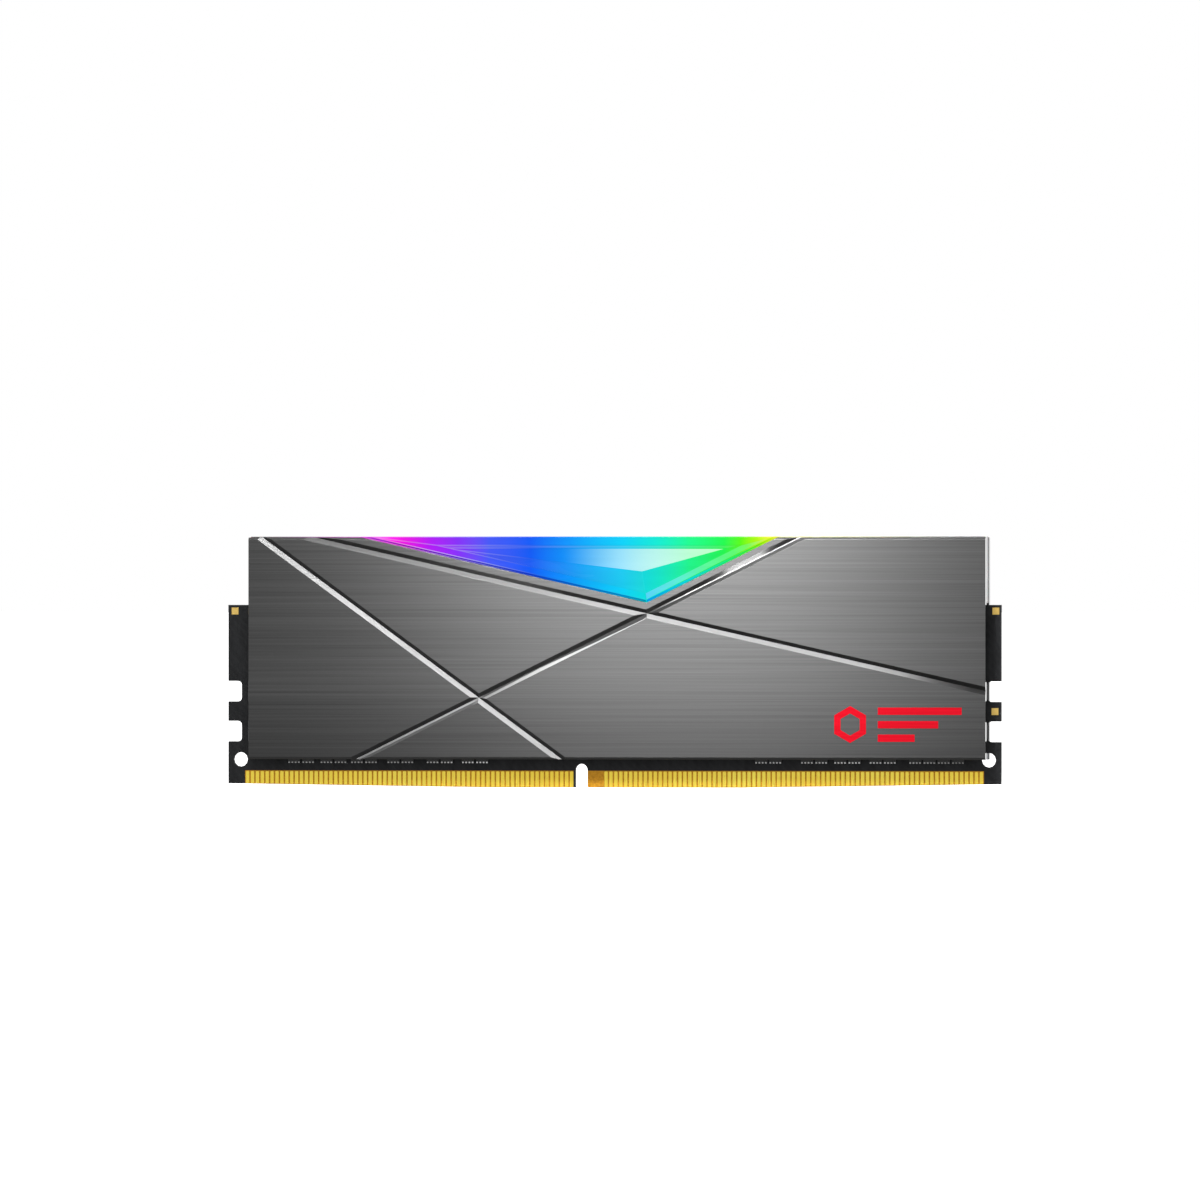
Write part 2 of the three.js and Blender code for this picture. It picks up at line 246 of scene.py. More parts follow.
GRAIN_LOW = 0.3  # the noise lies mostly between these two values
GRAIN_HIGH = 0.7


# ---------------------------------------------------------------- node helpers


def linear(value):
    """One screen colour value as scene-linear light."""
    return value / 12.92 if value <= 0.04045 else ((value + 0.055) / 1.055) ** 2.4


def colour(red, green, blue):
    return (linear(red), linear(green), linear(blue), 1.0)


def grey(value):
    return colour(value, value, value)


def new_material(name):
    """A node material; returns it with its tree and its Principled shader."""
    material = bpy.data.materials.new(name)
    material.use_nodes = True
    return material, material.node_tree, material.node_tree.nodes["Principled BSDF"]


def add_node(tree, kind, **settings):
    node = tree.nodes.new("ShaderNode" + kind)
    for key, value in settings.items():
        setattr(node, key, value)
    return node


def feed(tree, value, socket):
    """Links an output to a socket, or sets the socket to a plain value."""
    if isinstance(value, bpy.types.NodeSocket):
        tree.links.new(value, socket)
    else:
        socket.default_value = value


def math_node(tree, operation, a, b=0.0):
    node = add_node(tree, "Math", operation=operation)
    feed(tree, a, node.inputs[0])
    feed(tree, b, node.inputs[1])
    return node.outputs[0]


def plus(tree, a, b):
    return math_node(tree, "ADD", a, b)


def minus(tree, a, b):
    return math_node(tree, "SUBTRACT", a, b)


def times(tree, a, b):
    return math_node(tree, "MULTIPLY", a, b)


def weighted(tree, a, b, share):
    """share of a and the rest of b."""
    return plus(tree, times(tree, a, share), times(tree, b, 1 - share))


def place(tree):
    """The surface point in the part's own frame, in metres, as separate X, Y and Z outputs."""
    coordinates = add_node(tree, "TexCoord")
    split = add_node(tree, "SeparateXYZ")
    tree.links.new(coordinates.outputs["Object"], split.inputs[0])
    return split.outputs


def grain(tree, scale, detail=3.0, roughness=0.55, distortion=0.0):
    """Noise in the part's frame; scale gives the number of features per metre along X, Y and Z."""
    coordinates = add_node(tree, "TexCoord")
    mapping = add_node(tree, "Mapping")
    mapping.inputs["Scale"].default_value = scale
    tree.links.new(coordinates.outputs["Object"], mapping.inputs["Vector"])
    noise = add_node(tree, "TexNoise")
    noise.inputs["Scale"].default_value = 1.0
    noise.inputs["Detail"].default_value = detail
    noise.inputs["Roughness"].default_value = roughness
    noise.inputs["Distortion"].default_value = distortion
    tree.links.new(mapping.outputs["Vector"], noise.inputs["Vector"])
    return noise.outputs["Fac"]


def remap(tree, value, low, high, to_low, to_high, smooth=False):
    """A value moved from the range low to high to the range to_low to to_high, and held inside it."""
    node = add_node(tree, "MapRange", clamp=True)
    node.interpolation_type = "SMOOTHSTEP" if smooth else "LINEAR"
    feed(tree, value, node.inputs["Value"])
    for name, number in zip(("From Min", "From Max", "To Min", "To Max"), (low, high, to_low, to_high)):
        node.inputs[name].default_value = number
    return node.outputs["Result"]


def mix_colour(tree, factor, a, b, blend="MIX"):
    node = add_node(tree, "Mix", data_type="RGBA", blend_type=blend)
    feed(tree, factor, node.inputs[0])
    feed(tree, a, node.inputs[6])
    feed(tree, b, node.inputs[7])
    return node.outputs[2]


def ramp(tree, value, stops):
    """A colour ramp; stops are (position, colour)."""
    node = add_node(tree, "ValToRGB")
    elements = node.color_ramp.elements
    while len(elements) < len(stops):
        elements.new(0.5)
    for element, (position, shade) in zip(elements, stops):
        element.position = position
        element.color = shade
    feed(tree, value, node.inputs["Fac"])
    return node.outputs["Color"]


def vary(tree, noise, low, high):
    """A number that runs from low to high with the noise."""
    return remap(tree, noise, GRAIN_LOW, GRAIN_HIGH, low, high)


def mottle(tree, noise, first, second):
    """A colour that runs from first to second with the noise."""
    return ramp(tree, noise, [(GRAIN_LOW, first), (GRAIN_HIGH, second)])


def scaled(tree, shade, factor):
    """A colour multiplied by a number or by another colour."""
    return mix_colour(tree, 1.0, shade, factor, "MULTIPLY")


def add_bump(tree, shader, height, distance, strength):
    """Bump of the given real height, in millimetres."""
    node = add_node(tree, "Bump")
    node.inputs["Distance"].default_value = distance * MM
    node.inputs["Strength"].default_value = strength
    tree.links.new(height, node.inputs["Height"])
    tree.links.new(node.outputs["Normal"], shader.inputs["Normal"])


def brush_tangent(tree, shader):
    """Lines the anisotropy up with the brushing, which runs along U."""
    node = add_node(tree, "Tangent", direction_type="UV_MAP", uv_map="brush")
    tree.links.new(node.outputs["Tangent"], shader.inputs["Tangent"])


# ---------------------------------------------------------------- materials


def brushed_metal(name, shade, roughness, anisotropy, contrast):
    """Gunmetal aluminium with fine brush lines along X, and painted shade that darkens it towards the foot
    of the plate.
    """
    material, tree, shader = new_material(name)
    long_lines = grain(tree, (9, 40, 2300), detail=4.0, roughness=0.6)
    fine_lines = grain(tree, (30, 60, 6500), detail=2.0, roughness=0.5)
    lines = weighted(tree, long_lines, fine_lines, 0.62)
    tone = remap(tree, lines, 0.33, 0.67, 1 - contrast, 1 + contrast)
    _, _, z = place(tree)
    # Painted shade: the colour darkens towards the plate's foot.
    foot = remap(tree, z, FOOT_RISE[0] * MM, FOOT_RISE[1] * MM, FOOT_PAINTED_SHADE, 1.0, smooth=True)
    feed(tree, scaled(tree, grey(shade), times(tree, tone, foot)), shader.inputs["Base Color"])
    feed(tree, vary(tree, lines, roughness + 0.05, roughness - 0.05), shader.inputs["Roughness"])
    shader.inputs["Metallic"].default_value = 1.0
    shader.inputs["Anisotropic"].default_value = anisotropy
    shader.inputs["Anisotropic Rotation"].default_value = 0.25
    brush_tangent(tree, shader)
    add_bump(tree, shader, lines, 0.006, 0.5)
    return material


def end_wall_metal(name):
    """The cut ends of a plate: pale polished aluminium."""
    material, tree, shader = new_material(name)
    frost = grain(tree, (2400, 900, 900), detail=3.0)
    feed(tree, mottle(tree, frost, grey(0.52), grey(0.59)), shader.inputs["Base Color"])
    feed(tree, vary(tree, frost, 0.06, 0.12), shader.inputs["Roughness"])
    shader.inputs["Metallic"].default_value = 1.0
    return material


def level_along(tree, levels):
    """A colour along X; levels are (X in mm, scene-linear colour)."""
    x, _, _ = place(tree)
    reach = remap(tree, x, -TONE_REACH * MM, TONE_REACH * MM, 0.0, 1.0)
    return ramp(tree, reach, [((at + TONE_REACH) / (2 * TONE_REACH), level) for at, level in levels])


def tone_along(tree, tones):
    """A brightness along X; tones are (X in mm, screen grey)."""
    return level_along(tree, [(at, grey(value)) for at, value in tones])


def groove_shadow_side(name, tones):
    """The upper wall of a groove, which faces down: painted shade, nearly black, with a painted highlight
    on any bright stretch in tones.
    """
    material, tree, shader = new_material(name)
    smudge = grain(tree, (220, 220, 700), detail=3.0)
    # Painted shade and painted highlights along X.
    base = scaled(tree, tone_along(tree, tones), vary(tree, smudge, 0.8, 1.2))
    feed(tree, base, shader.inputs["Base Color"])
    feed(tree, vary(tree, smudge, 0.34, 0.46), shader.inputs["Roughness"])
    shader.inputs["Metallic"].default_value = 0.2
    shader.inputs["Specular IOR Level"].default_value = 0.15
    return material


def groove_distance(tree, through, slope):
    """Distance from a groove's bottom line across the face, in millimetres, positive above it."""
    x, _, z = place(tree)
    along = times(tree, minus(tree, x, through[0] * MM), slope)
    rise = minus(tree, minus(tree, z, through[1] * MM), along)
    return times(tree, rise, math.cos(math.atan(slope)) / MM)


def groove_painted_reflection_side(name, through, slope, inner_tones, outer_tones, inner_share):
    """The lower wall of a groove, its brightness a painted reflection: a strip beside the bottom line and
    an outer strip.

    inner_tones and outer_tones are (X in mm, screen grey) along the groove, and inner_share is (X in mm,
    the inner strip's share of the wall's width).
    """
    material, tree, shader = new_material(name)
    share = level_along(tree, [(at, (value, value, value, 1)) for at, value in inner_share])
    depth = math_node(tree, "DIVIDE", groove_distance(tree, through, slope), -GROOVE_LOWER)
    edge = minus(tree, depth, share)
    outer = remap(tree, edge, -0.04, 0.04, 0.0, 1.0, smooth=True)
    # Painted reflection: the two strips' tones along X.
    tone = mix_colour(tree, outer, tone_along(tree, inner_tones), tone_along(tree, outer_tones))
    streak = grain(tree, (120, 120, 120), detail=4.0, roughness=0.6)
    feed(tree, scaled(tree, tone, vary(tree, streak, 0.94, 1.04)), shader.inputs["Base Color"])
    feed(tree, vary(tree, streak, 0.42, 0.52), shader.inputs["Roughness"])
    shader.inputs["Metallic"].default_value = 0.1
    shader.inputs["Specular IOR Level"].default_value = 0.2
    return material


def glow_colour(tree, stretch=1.0):
    """The rainbow along X, magenta at the left to yellow at the right, stretched from its right end."""
    x, _, _ = place(tree)
    from_right = minus(tree, x, GLOW_PIVOT * MM)
    leaned = plus(tree, times(tree, from_right, stretch), GLOW_PIVOT * MM)
    left = GLOW[0][0] * MM
    right = GLOW[-1][0] * MM
    along = remap(tree, leaned, left, right, 0.0, 1.0)
    stops = [((at * MM - left) / (right - left), colour(*rgb)) for at, *rgb in GLOW]
    return ramp(tree, along, stops)


def lens_material(name, gain, pale=0.0, deep=0.0, pale_from=None, pale_to=None, stretch=1.0):
    """Lit acrylic: the rainbow scaled by gain, which paints shade, mixed towards white by pale, which
    paints a highlight.

    With pale_from and pale_to, in millimetres along X, the white grows from nothing to pale between them.
    deep darkens the red and green most, as painted shade.
    """
    material, tree, shader = new_material(name)
    glow = glow_colour(tree, stretch)
    streaks = grain(tree, (38, 50, 700), detail=3.0, roughness=0.5, distortion=0.3)
    clouds = grain(tree, (60, 60, 160), detail=2.0)
    soft = weighted(tree, streaks, clouds, 0.6)
    # Painted shade: the glow scaled by each facet's gain.
    glow = scaled(tree, glow, vary(tree, soft, gain * 0.93, gain * 1.06))
    if deep:
        glow = scaled(tree, glow, (1 - deep, 1 - deep, 1 - 0.2 * deep, 1))
    white = vary(tree, soft, pale * 0.88, pale * 1.05)
    if pale_from is not None:
        x, _, _ = place(tree)
        fade = remap(tree, x, pale_from * MM, pale_to * MM, 0.0, 1.0, smooth=True)
        white = times(tree, white, fade)
    # Painted highlight: the glow mixed towards white.
    glow = mix_colour(tree, white, glow, GLOW_WHITE)
    feed(tree, glow, shader.inputs["Emission Color"])
    shader.inputs["Emission Strength"].default_value = 1.0
    feed(tree, scaled(tree, glow, UNLIT_SHARE), shader.inputs["Base Color"])
    feed(tree, vary(tree, clouds, 0.2, 0.3), shader.inputs["Roughness"])
    shader.inputs["Specular IOR Level"].default_value = 0.08
    return material


def crease_material(name):
    """The rounded edges between facets: the rainbow with a pale glint, strongest on the lower left rim."""
    material, tree, shader = new_material(name)
    x, _, _ = place(tree)
    wisp = grain(tree, (150, 150, 150), detail=2.0)
    rise = remap(tree, x, -41 * MM, -30 * MM, 0.35, 1.0, smooth=True)
    fall = remap(tree, x, -27 * MM, -11 * MM, 1.0, 0.02, smooth=True)
    inside = minus(tree, groove_distance(tree, HIGH_CROSSING, SHALLOW_SLOPE), WINDOW_ABOVE_CROSSING)
    rim = remap(tree, inside, 0.75, 1.1, 0.36, 0.16)
    white = times(tree, times(tree, rise, fall), rim)
    white = times(tree, white, vary(tree, wisp, 0.85, 1.1))
    glow = mix_colour(tree, white, glow_colour(tree), GLOW_WHITE)
    feed(tree, glow, shader.inputs["Emission Color"])
    shader.inputs["Emission Strength"].default_value = 0.86
    feed(tree, scaled(tree, glow, UNLIT_SHARE), shader.inputs["Base Color"])
    feed(tree, vary(tree, wisp, 0.3, 0.4), shader.inputs["Roughness"])
    shader.inputs["Specular IOR Level"].default_value = 0.05
    return material


def milky_acrylic(name):
    """The light guide's bar: grey diffusing acrylic, pale at its ends and aglow in its middle stretch."""
    material, tree, shader = new_material(name)
    x, _, z = place(tree)
    cloud = grain(tree, (260, 260, 260), detail=3.0)
    base = mottle(tree, cloud, colour(0.33, 0.34, 0.35), colour(0.39, 0.40, 0.41))
    from_middle = math_node(tree, "ABSOLUTE", minus(tree, x, PLATE_MIDDLE * MM))
    end = remap(tree, from_middle, BAR_END * MM, (BAR_END + 0.1) * MM, 0.0, 1.0)
    base = mix_colour(tree, end, base, grey(0.76))
    feed(tree, base, shader.inputs["Base Color"])
    feed(tree, vary(tree, cloud, 0.28, 0.4), shader.inputs["Roughness"])
    left = remap(tree, x, BAR_GLOW_FROM[0] * MM, BAR_GLOW_FROM[1] * MM, 0.0, 1.0, smooth=True)
    right = remap(tree, x, BAR_GLOW_TO[0] * MM, BAR_GLOW_TO[1] * MM, 1.0, 0.0, smooth=True)
    height = remap(tree, z, BAR_GLOW_RISE[0] * MM, BAR_GLOW_RISE[1] * MM, 0.3, 0.72, smooth=True)
    strength = times(tree, times(tree, left, right), height)
    glow = mix_colour(tree, strength, (0, 0, 0, 1), glow_colour(tree))
    feed(tree, glow, shader.inputs["Emission Color"])
    shader.inputs["Emission Strength"].default_value = 1.0
    shader.inputs["Specular IOR Level"].default_value = 0.12
    shader.inputs["Subsurface Weight"].default_value = 0.15
    shader.inputs["Subsurface Scale"].default_value = 0.002
    return material


def within(tree, value, low, high, soft=0.03):
    """1 where value is between low and high, which are in millimetres, with a soft edge."""
    rise = remap(tree, value, (low - soft) * MM, (low + soft) * MM, 0.0, 1.0)
    fall = remap(tree, value, (high - soft) * MM, (high + soft) * MM, 1.0, 0.0)
    return times(tree, rise, fall)


def board_material(name):
    """Matte black solder mask over faint copper traces, and bare laminate in the contact area."""
    material, tree, shader = new_material(name)
    x, _, z = place(tree)
    speck = grain(tree, (2600, 2600, 2600), detail=2.0)
    weave = grain(tree, (900, 900, 260), detail=2.0)
    mask = mottle(tree, weave, colour(0.112, 0.114, 0.12), colour(0.155, 0.158, 0.165))
    traces = add_node(tree, "TexWave", wave_type="BANDS", bands_direction="DIAGONAL")
    traces.inputs["Scale"].default_value = 420
    traces.inputs["Distortion"].default_value = 1.5
    traces.inputs["Detail"].default_value = 1.0
    coordinates = add_node(tree, "TexCoord")
    tree.links.new(coordinates.outputs["Object"], traces.inputs["Vector"])
    lines = remap(tree, traces.outputs["Fac"], 0.55, 0.7, 0.0, 1.0, smooth=True)
    mask = mix_colour(tree, times(tree, lines, 0.12), mask, colour(0.2, 0.21, 0.205))
    laminate = mottle(tree, speck, colour(0.74, 0.50, 0.10), colour(0.86, 0.62, 0.16))
    low = remap(tree, z, LAMINATE_TOP[0] * MM, LAMINATE_TOP[1] * MM, 1.0, 0.0)
    left_zone = within(tree, x, *LAMINATE_LEFT)
    right_zone = within(tree, x, *LAMINATE_RIGHT)
    zone = times(tree, low, math_node(tree, "MAXIMUM", left_zone, right_zone))
    feed(tree, mix_colour(tree, zone, mask, laminate), shader.inputs["Base Color"])
    feed(tree, vary(tree, speck, 0.5, 0.66), shader.inputs["Roughness"])
    shader.inputs["Specular IOR Level"].default_value = 0.15
    height = plus(tree, times(tree, lines, 0.8), times(tree, speck, 0.25))
    add_bump(tree, shader, height, 0.03, 0.6)
    return material


def gold_material(name, warm, pale):
    """Hard gold plating, warm to pale in patches, with faint rub marks from the socket along Z."""
    material, tree, shader = new_material(name)
    rub = grain(tree, (5200, 300, 240), detail=3.0)
    patch = grain(tree, (70, 70, 160), detail=2.0)
    base = mottle(tree, patch, colour(*warm), colour(*pale))
    feed(tree, scaled(tree, base, vary(tree, rub, 0.9, 1.05)), shader.inputs["Base Color"])
    feed(tree, vary(tree, rub, 0.26, 0.4), shader.inputs["Roughness"])
    shader.inputs["Metallic"].default_value = 0.8
    add_bump(tree, shader, rub, 0.004, 0.5)
    return material


def tin_material(name):
    """Dull tinned solder, with painted highlights that make some arrays along the board brighter than
    others.
    """
    # Painted highlights along X.
    tones = [(-58, 0.72), (-33, 0.72), (-24, 1.0), (22, 0.8), (36, 0.85), (41, 1.0), (48, 0.85), (60, 0.55)]
    material, tree, shader = new_material(name)
    frost = grain(tree, (4200, 4200, 4200), detail=3.0)
    base = scaled(tree, tone_along(tree, tones), vary(tree, frost, 0.8, 1.0))
    feed(tree, base, shader.inputs["Base Color"])
    feed(tree, vary(tree, frost, 0.25, 0.45), shader.inputs["Roughness"])
    shader.inputs["Metallic"].default_value = 0.5
    add_bump(tree, shader, frost, 0.01, 0.6)
    return material


def ceramic_material(name):
    """Black glazed resistor body."""
    material, tree, shader = new_material(name)
    speck = grain(tree, (6000, 6000, 6000), detail=2.0)
    feed(tree, ramp(tree, speck, [(0.3, grey(0.1)), (0.75, grey(0.16))]), shader.inputs["Base Color"])
    feed(tree, vary(tree, speck, 0.3, 0.45), shader.inputs["Roughness"])
    return material


def mould_material(name):
    """Matte black moulding compound of a chip package, with pale flecks."""
    material, tree, shader = new_material(name)
    speck = grain(tree, (9000, 9000, 9000), detail=3.0)
    cloud = grain(tree, (500, 500, 500), detail=2.0)
    tone = mix_colour(tree, cloud, grey(0.13), grey(0.17))
    fleck = remap(tree, speck, 0.6, 0.75, 0.0, 0.5)
    feed(tree, mix_colour(tree, fleck, tone, grey(0.27)), shader.inputs["Base Color"])
    feed(tree, vary(tree, speck, 0.55, 0.7), shader.inputs["Roughness"])
    add_bump(tree, shader, speck, 0.012, 0.8)
    return material


def thermal_pad_material(name):
    """Pale grey filled silicone with coarse grains."""
    material, tree, shader = new_material(name)
    grains = grain(tree, (2400, 2400, 2400), detail=4.0, roughness=0.7)
    base = mottle(tree, grains, colour(0.72, 0.73, 0.75), colour(0.86, 0.87, 0.88))
    feed(tree, base, shader.inputs["Base Color"])
    feed(tree, vary(tree, grains, 0.75, 0.95), shader.inputs["Roughness"])
    add_bump(tree, shader, grains, 0.04, 0.8)
    return material


def led_material(name):
    """Creamy white plastic of an LED package."""
    material, tree, shader = new_material(name)
    speck = grain(tree, (5000, 5000, 5000), detail=2.0)
    base = mottle(tree, speck, colour(0.9, 0.9, 0.84), colour(0.97, 0.97, 0.93))
    feed(tree, base, shader.inputs["Base Color"])
    feed(tree, vary(tree, speck, 0.3, 0.45), shader.inputs["Roughness"])
    return material


def ink_material(name):
    """Red screen print over the brushed face."""
    material, tree, shader = new_material(name)
    lines = grain(tree, (60, 60, 3000), detail=3.0)
    base = mottle(tree, lines, colour(0.75, 0.0, 0.09), colour(0.82, 0.005, 0.12))
    feed(tree, base, shader.inputs["Base Color"])
    feed(tree, vary(tree, lines, 0.42, 0.55), shader.inputs["Roughness"])
    shader.inputs["Specular IOR Level"].default_value = 0.12
    add_bump(tree, shader, lines, 0.004, 0.4)
    return material


# ---------------------------------------------------------------- mesh helpers


def finish_piece(name, bm, materials, slot, *nodes, flat=False):
    """Turns bm, in metres, into a piece that rides on the body and stands for the given CAD nodes."""
    bmesh.ops.recalc_face_normals(bm, faces=bm.faces)
    mesh = bpy.data.meshes.new(name)
    bm.to_mesh(mesh)
    bm.free()
    for material in materials:
        mesh.materials.append(material)
    piece = bpy.data.objects.new(name, mesh)
    bpy.context.scene.collection.objects.link(piece)
    if flat:
        mesh.shade_flat()
    else:
        mesh.shade_smooth()
        mesh.set_sharp_from_angle(angle=math.radians(SMOOTH_BELOW))
    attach(piece, "root")
    if nodes:
        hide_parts(*nodes)
    return piece


def round_edges(piece, width, segments=2, angle=25, material=-1, flat=False):
    """Rounds every edge sharper than angle, in degrees; width is in millimetres."""
    bevel = piece.modifiers.new("rounded_edges", "BEVEL")
    bevel.width = width * MM
    bevel.segments = segments
    bevel.limit_method = "ANGLE"
    bevel.angle_limit = math.radians(angle)
    bevel.use_clamp_overlap = False
    bevel.harden_normals = not flat
    bevel.material = material


def prism(bm, outline, near, far, index=0):
    """A closed prism; outline is (x, z), near and far are its Y, all in millimetres."""
    front = [bm.verts.new((x * MM, near * MM, z * MM)) for x, z in outline]
    back = [bm.verts.new((x * MM, far * MM, z * MM)) for x, z in outline]
    faces = [bm.faces.new(front), bm.faces.new(list(reversed(back)))]
    for i in range(len(outline)):
        j = (i + 1) % len(outline)
        faces.append(bm.faces.new((front[j], front[i], back[i], back[j])))
    for face in faces:
        face.material_index = index


def box_prism(bm, left, right, bottom, top, near, far, index=0):
    """A closed rectangular prism, in millimetres."""
    prism(bm, [(left, bottom), (right, bottom), (right, top), (left, top)], near, far, index)


def millimetres(node):
    """Lowest and highest corner of a CAD node, in millimetres."""
    low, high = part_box(node)
    return low / MM, high / MM


def edge_height(x):
    """Height of the connector edge at x."""
    past = max(0.0, abs(x) - EDGE_FLAT_HALF)
    return EDGE_RISE * past / (BOARD_HALF_LENGTH - EDGE_FLAT_HALF)


# ---------------------------------------------------------------- heat spreader


def groove_index(face):
    """Material index of a groove wall: 2 to 4 for upper walls, 5 to 7 for lower walls."""
    slopes = (STEEP_SLOPE, RISING_SLOPE, SHALLOW_SLOPE)
    lean = -face.normal.x / face.normal.z
    gaps = [abs(lean - slope) for slope in slopes]
    first = 2 if face.normal.z < 0 else 5
    return first + gaps.index(min(gaps))


def plate_face_index(face, outer):
    """Material index of a plate face: 0 brushed face, 1 edges and inside, 2 to 7 grooves, 8 end walls.

    outer is how far the brushed face lies from the middle of the module, in millimetres. The parts of the
    face's normal tell which way it looks.
    """
    out = abs(face.normal.y)
    middle = face.calc_center_median() / MM
    straight = abs(face.normal.x) < 0.01 or abs(face.normal.z) < 0.01
    if out > 0.99:
        return 0 if abs(middle.y) > outer - 0.1 else 1
    if abs(face.normal.x) > 0.6:
        return 8
    if out < 0.3 or straight:
        return 1
    return groove_index(face)


def on_outer_face(vert, outer):
    return abs(vert.co.y) > (outer - SURFACE_TOLERANCE) * MM


def square_off_ends(bm, low, high, outer):
    """Takes the bevel off the plate's two end edges, which are cut square."""
    for vert in bm.verts:
        if on_outer_face(vert, outer):
            for end in (low.x, high.x):
                if abs(vert.co.x - end * MM) < PLATE_BEVEL * 1.05 * MM:
                    vert.co.x = end * MM


def heat_spreader_plate(name, node, materials):
    """The CAD plate's shape with clean faces, brush coordinates along X, and softened edges."""
    low, high = millimetres(node)
    outer = max(abs(low.y), abs(high.y))
    bm = bmesh.new()
    bm.from_mesh(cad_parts[node].data)
    bmesh.ops.remove_doubles(bm, verts=bm.verts, dist=CLEAN_UP * MM)
    square_off_ends(bm, low, high, outer)
    flat = math.radians(CLEAN_UP_ANGLE)
    bmesh.ops.dissolve_limit(bm, angle_limit=flat, verts=bm.verts, edges=bm.edges)
    bm.normal_update()
    for face in bm.faces:
        face.material_index = plate_face_index(face, outer)
    for vert in bm.verts:
        if on_outer_face(vert, outer):
            vert.co.y = math.copysign((outer - FACE_SINK) * MM, vert.co.y)
    brush = bm.loops.layers.uv.new("brush")
    for face in bm.faces:
        for loop in face.loops:
            loop[brush].uv = (loop.vert.co.x * BRUSH_SCALE, loop.vert.co.z * BRUSH_SCALE)
    piece = finish_piece(name, bm, materials, "plate", node, flat=True)
    round_edges(piece, PLATE_EDGE, flat=True)


def plate_materials():
    """Materials in the order of plate_face_index."""
    steep = (LOW_CROSSING, STEEP_SLOPE, STEEP_LOWER, STEEP_LOWER, ONE_STRIP)
    rising = (LOW_CROSSING, RISING_SLOPE, RISING_LOWER_INNER, RISING_LOWER_OUTER, RISING_INNER_SHARE)
    shallow = (HIGH_CROSSING, SHALLOW_SLOPE, SHALLOW_LOWER, SHALLOW_LOWER, ONE_STRIP)
    return [
        brushed_metal("brushed_gunmetal", shade=0.318, roughness=0.42, anisotropy=0.85, contrast=0.2),
        # A darker copy of the gunmetal for the edges and inside: painted shade.
        brushed_metal("edge_gunmetal", shade=0.28, roughness=0.34, anisotropy=0.3, contrast=0.08),
        groove_shadow_side("steep_groove_upper_wall", STEEP_UPPER),
        groove_shadow_side("rising_groove_upper_wall", RISING_UPPER),
        groove_shadow_side("shallow_groove_upper_wall", SHALLOW_UPPER),
        groove_painted_reflection_side("steep_groove_lower_wall", *steep),
        groove_painted_reflection_side("rising_groove_lower_wall", *rising),
        groove_painted_reflection_side("shallow_groove_lower_wall", *shallow),
        end_wall_metal("end_wall_metal"),
    ]


def hexagon(centre_x, centre_z, radius):
    """Corners of a hexagon that stands on a corner."""
    corners = []
    for i in range(6):
        angle = math.pi / 6 + i * math.pi / 3
        corners.append((centre_x + radius * math.cos(angle), centre_z + radius * math.sin(angle)))
    return corners


def ring(bm, outer, inner, near, far):
    """A closed flat ring between two outlines that have the same number of corners."""
    loops = []
    for outline, depth in ((outer, near), (inner, near), (inner, far), (outer, far)):
        loops.append([bm.verts.new((x * MM, depth * MM, z * MM)) for x, z in outline])
    for k in range(4):
        this, following = loops[k], loops[(k + 1) % 4]
        for i in range(len(outer)):
            j = (i + 1) % len(outer)
            bm.faces.new((this[i], this[j], following[j], following[i]))


def printed_mark():
    """A plain generic mark: a hollow hexagon and three bars, standing on the sunken face."""
    low, _ = millimetres("front_plate")
    near = low.y
    far = low.y + FACE_SINK
    bm = bmesh.new()
    middle = (MARK_BOTTOM + MARK_TOP) / 2
    radius = (MARK_TOP - MARK_BOTTOM) / 2
    centre = MARK_LEFT + radius
    ring(bm, hexagon(centre, middle, radius), hexagon(centre, middle, radius - MARK_STROKE), near, far)
    left = centre + radius + MARK_GAP
    for i, share in enumerate(MARK_BAR_SHARES):
        top = MARK_TOP - MARK_BAR_DROP - i * MARK_BAR_PITCH
        right = left + (MARK_RIGHT - left) * share
        box_prism(bm, left, right, top - MARK_STROKE, top, near, far)
    finish_piece("printed_mark", bm, [ink_material("red_ink")], "plate")


# ---------------------------------------------------------------- light guide


def lens_corners(inset, top):
    """Bottom, right and left corner of the lens outline, drawn in by inset and cut off at top."""
    bottom = HIGH_CROSSING[1] + WINDOW_ABOVE_CROSSING
    left_lift = inset / math.cos(math.atan(SHALLOW_SLOPE))
    right_lift = inset / math.cos(math.atan(RISING_SLOPE))
    x = (left_lift - right_lift) / (RISING_SLOPE - SHALLOW_SLOPE)
    return [
        (HIGH_CROSSING[0] + x, bottom + left_lift + SHALLOW_SLOPE * x),
        (HIGH_CROSSING[0] + (top - bottom - right_lift) / RISING_SLOPE, top),
        (HIGH_CROSSING[0] + (top - bottom - left_lift) / SHALLOW_SLOPE, top),
    ]


def lens_loops():
    """The lens's outlines from the back to the pale triangle, each with its distance from the middle."""
    guide_top = millimetres("light_guide")[1].z
    outer, bevel, crease = [
        (depth, lens_corners(inset, guide_top - drop))
        for (inset, depth), drop in zip((LENS_OUTER, LENS_BEVEL, LENS_CREASE), LENS_TOP_DROPS)
    ]
    return [(LENS_BACK, outer[1]), outer, bevel, crease, (LENS_HEART_DEPTH, LENS_HEART)]


def lens_piece(name, side, materials):
    """A faceted lens: a bevel, a rim inside it, and a field that slopes down to a flat triangle, pale with
    a painted highlight.
    """
    bm = bmesh.new()
    rings = []
    for depth, corners in lens_loops():
        rings.append([bm.verts.new((x * MM, side * depth * MM, z * MM)) for x, z in corners])
    for ring_below, ring_above, first_material in zip(rings, rings[1:], LENS_FACET_MATERIALS):
        for i in range(3):
            j = (i + 1) % 3
            face = bm.faces.new((ring_below[i], ring_below[j], ring_above[j], ring_above[i]))
            face.material_index = first_material + i
    heart = bm.faces.new(rings[-1])
    heart.material_index = LENS_HEART_MATERIAL
    bm.faces.new(list(reversed(rings[0])))
    piece = finish_piece(name, bm, materials, "light_guide", "light_guide")
    round_edges(piece, LENS_EDGE, angle=LENS_FACET_ANGLE, material=len(materials) - 1)


